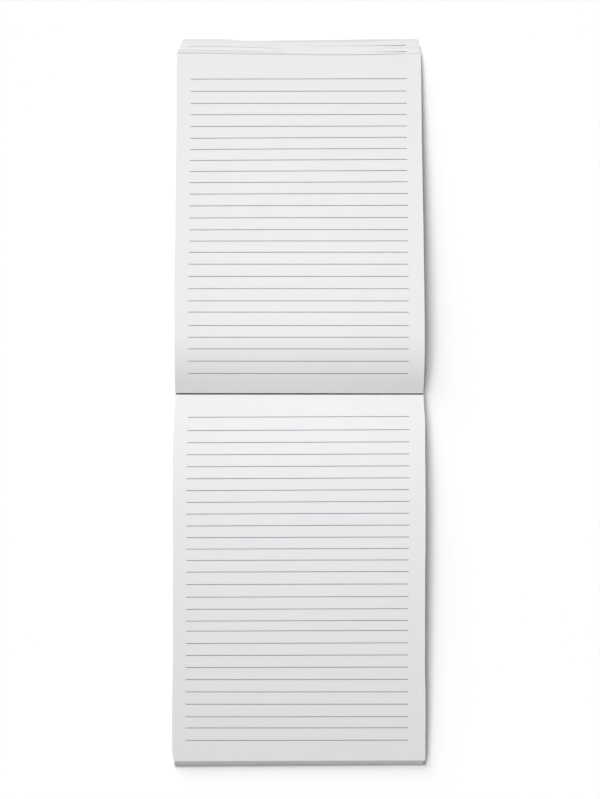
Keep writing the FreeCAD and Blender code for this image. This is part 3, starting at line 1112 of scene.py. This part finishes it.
class NotepadColours(bpy.types.PropertyGroup):
    """Colours of the notepad's finishes and of its table."""

    paper: a_colour("Paper", "Writing paper", (0.858, 0.851, 0.87))
    ink: a_colour("Ink", "Ruling ink", (0.14, 0.14, 0.15))
    board: a_colour("Board", "Greyboard", (0.60, 0.60, 0.585))
    gum: a_colour("Gum", "Padding gum", (0.80, 0.76, 0.66))
    table: a_colour("Table", "Table top", (0.80, 0.80, 0.80))


class NotepadLight(bpy.types.PropertyGroup):
    """How the table is lit."""

    high_strength: a_number("High light", "Strength of the window's upper part", 1.382)
    head_strength: a_number("Head light", "Strength past the head", 0.594)
    low_strength: a_number("Low light", "Strength of its lower part", 1.703)
    top_power: a_power("Top lamp", "Power of the lamp above", 0.277)
    top_size: a_length("Top size", "Width of the lamp above", 0.12)
    room_strength: a_number("Room light", "Even light from all round", 0.106)


GROUPS = {
    "notepad_sizes": NotepadSizes,
    "notepad_colours": NotepadColours,
    "notepad_light": NotepadLight,
}


# --- operators ---

def lay_leaves(kind, stack, sizes, seed):
    """Every leaf of a stack, from the lowest up."""
    random = Random(seed)
    return [kind(stack, level, sizes, random) for level in range(stack.count)]


def lay_kept(sizes):
    return lay_leaves(KeptLeaf, kept_stack(sizes.kept_count), sizes, KEPT_LEAF_SEED)


def lay_turned(sizes):
    return lay_leaves(TurnedLeaf, turned_stack(), sizes, TURNED_LEAF_SEED)


def build_leaves(leaves, page_name, block_name):
    """Make the open page as one piece and the leaves under it as another."""
    paper = finish_named("paper_finish", writing_paper)
    page = MeshDraft()
    # The open page is painted dark in its fold, as painted shade in the gutter.
    page.add_sheet(*leaf_grids(leaves[-1], PAGE_COLUMNS), 1.0, FOLD_PAINTED_SHADE)
    rest = MeshDraft()
    for leaf in leaves[:-1]:
        rest.add_sheet(*leaf_grids(leaf, LEAF_COLUMNS), leaf.tone)
    for draft, name in ((page, page_name), (rest, block_name)):
        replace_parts(draft.build(name, paper, "leaves"), "leaf_block")


class NOTEPAD_OT_kept_leaves(bpy.types.Operator):
    """Lay the kept leaves on the board, the open page on top"""

    bl_idname = "notepad.kept_leaves"
    bl_label = "Kept leaves"

    def execute(self, context):
        leaves = lay_kept(context.scene.notepad_sizes)
        build_leaves(leaves, "open_page_kept", "kept_leaves")
        return {"FINISHED"}


class NOTEPAD_OT_turned_leaves(bpy.types.Operator):
    """Lay the turned leaves over the binding, fanned at their far edge"""

    bl_idname = "notepad.turned_leaves"
    bl_label = "Turned leaves"

    def execute(self, context):
        leaves = lay_turned(context.scene.notepad_sizes)
        build_leaves(leaves, "open_page_turned", "turned_leaves")
        return {"FINISHED"}


class NOTEPAD_OT_ruling(bpy.types.Operator):
    """Rule both open pages, and the fanned leaves where they show"""

    bl_idname = "notepad.ruling"
    bl_label = "Ruling"

    def execute(self, context):
        sizes = context.scene.notepad_sizes
        ink = finish_named("ink_finish", ruling_ink)
        page, leaves = lay_kept(sizes)[-1], lay_turned(sizes)
        kept = rule_page(page, sizes, sizes.kept_margin, sizes.kept_rules, **KEPT_PRESS)
        turned = rule_page(
            leaves[-1], sizes, sizes.turned_margin, sizes.turned_rules, **TURNED_PRESS
        )
        for draft, name in (
            (kept, "ruling_kept"),
            (turned, "ruling_turned"),
            (rule_fan(leaves), "ruling_fanned"),
        ):
            draft.build(name, ink, "leaves")
        return {"FINISHED"}


class NOTEPAD_OT_greyboard(bpy.types.Operator):
    """Cut the greyboard back"""

    bl_idname = "notepad.greyboard"
    bl_label = "Greyboard back"

    def execute(self, context):
        finish = finish_named("greyboard_finish", greyboard)
        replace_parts(make_board(context.scene.notepad_sizes, finish), "backing_board")
        return {"FINISHED"}


class NOTEPAD_OT_gum(bpy.types.Operator):
    """Brush the padding gum over the glued heads"""

    bl_idname = "notepad.gum"
    bl_label = "Padding gum"

    def execute(self, context):
        finish = finish_named("gum_finish", padding_gum)
        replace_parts(make_gum(finish), "binding_gum")
        return {"FINISHED"}


class NOTEPAD_OT_stage(bpy.types.Operator):
    """Set the table, the lamps and the camera"""

    bl_idname = "notepad.stage"
    bl_label = "Stage"

    def execute(self, context):
        scene = context.scene
        light = scene.notepad_light
        bpy.ops.mesh.primitive_plane_add(size=TABLE_SIZE)
        table = context.active_object
        table.name = "table"
        table.data.materials.append(finish_named("table_finish", table_top))
        for part, (side, spread) in DAYLIGHTS.items():
            looks = {"energy": getattr(light, part + "_strength"), "angle": radians(spread)}
            add_light("SUN", part + "_light", side, Vector(), **looks)
        looks = {"shape": "SQUARE", "size": light.top_size, "energy": light.top_power}
        add_light("AREA", "top_lamp", TOP_PLACE, TOP_AIM, **looks)
        scene.world = make_room(light.room_strength)
        camera = bpy.data.cameras.new("camera")
        view = {"lens": LENS, "sensor_width": SENSOR, "clip_start": NEAREST}
        scene.camera = add_aimed("camera", camera, CAMERA_PLACE, CAMERA_AIM, **view)
        scene.view_settings.view_transform = "Standard"
        return {"FINISHED"}


OPERATORS = (
    NOTEPAD_OT_kept_leaves,
    NOTEPAD_OT_turned_leaves,
    NOTEPAD_OT_ruling,
    NOTEPAD_OT_greyboard,
    NOTEPAD_OT_gum,
    NOTEPAD_OT_stage,
)


class NOTEPAD_PT_maker(bpy.types.Panel):
    """Sizes and colours of the notepad, and a button for each of its pieces"""

    bl_idname = "NOTEPAD_PT_maker"
    bl_label = "Ruled Notepad"
    bl_space_type = "VIEW_3D"
    bl_region_type = "UI"
    bl_category = "Notepad"

    def draw(self, context):
        for name, group in GROUPS.items():
            box = self.layout.box()
            for setting in group.__annotations__:
                box.prop(getattr(context.scene, name), setting)
        for operator in OPERATORS:
            self.layout.operator(operator.bl_idname)


def register():
    for name, group in GROUPS.items():
        bpy.utils.register_class(group)
        setattr(bpy.types.Scene, name, PointerProperty(type=group))
    for shown in OPERATORS + (NOTEPAD_PT_maker,):
        bpy.utils.register_class(shown)


def unregister():
    for shown in reversed(OPERATORS + (NOTEPAD_PT_maker,)):
        bpy.utils.unregister_class(shown)
    for name, group in reversed(GROUPS.items()):
        delattr(bpy.types.Scene, name)
        bpy.utils.unregister_class(group)


def main():
    register()
    bpy.ops.notepad.stage()
    bpy.ops.notepad.kept_leaves()
    bpy.ops.notepad.turned_leaves()
    bpy.ops.notepad.ruling()
    bpy.ops.notepad.greyboard()
    bpy.ops.notepad.gum()


if __name__ == "__main__":
    main()
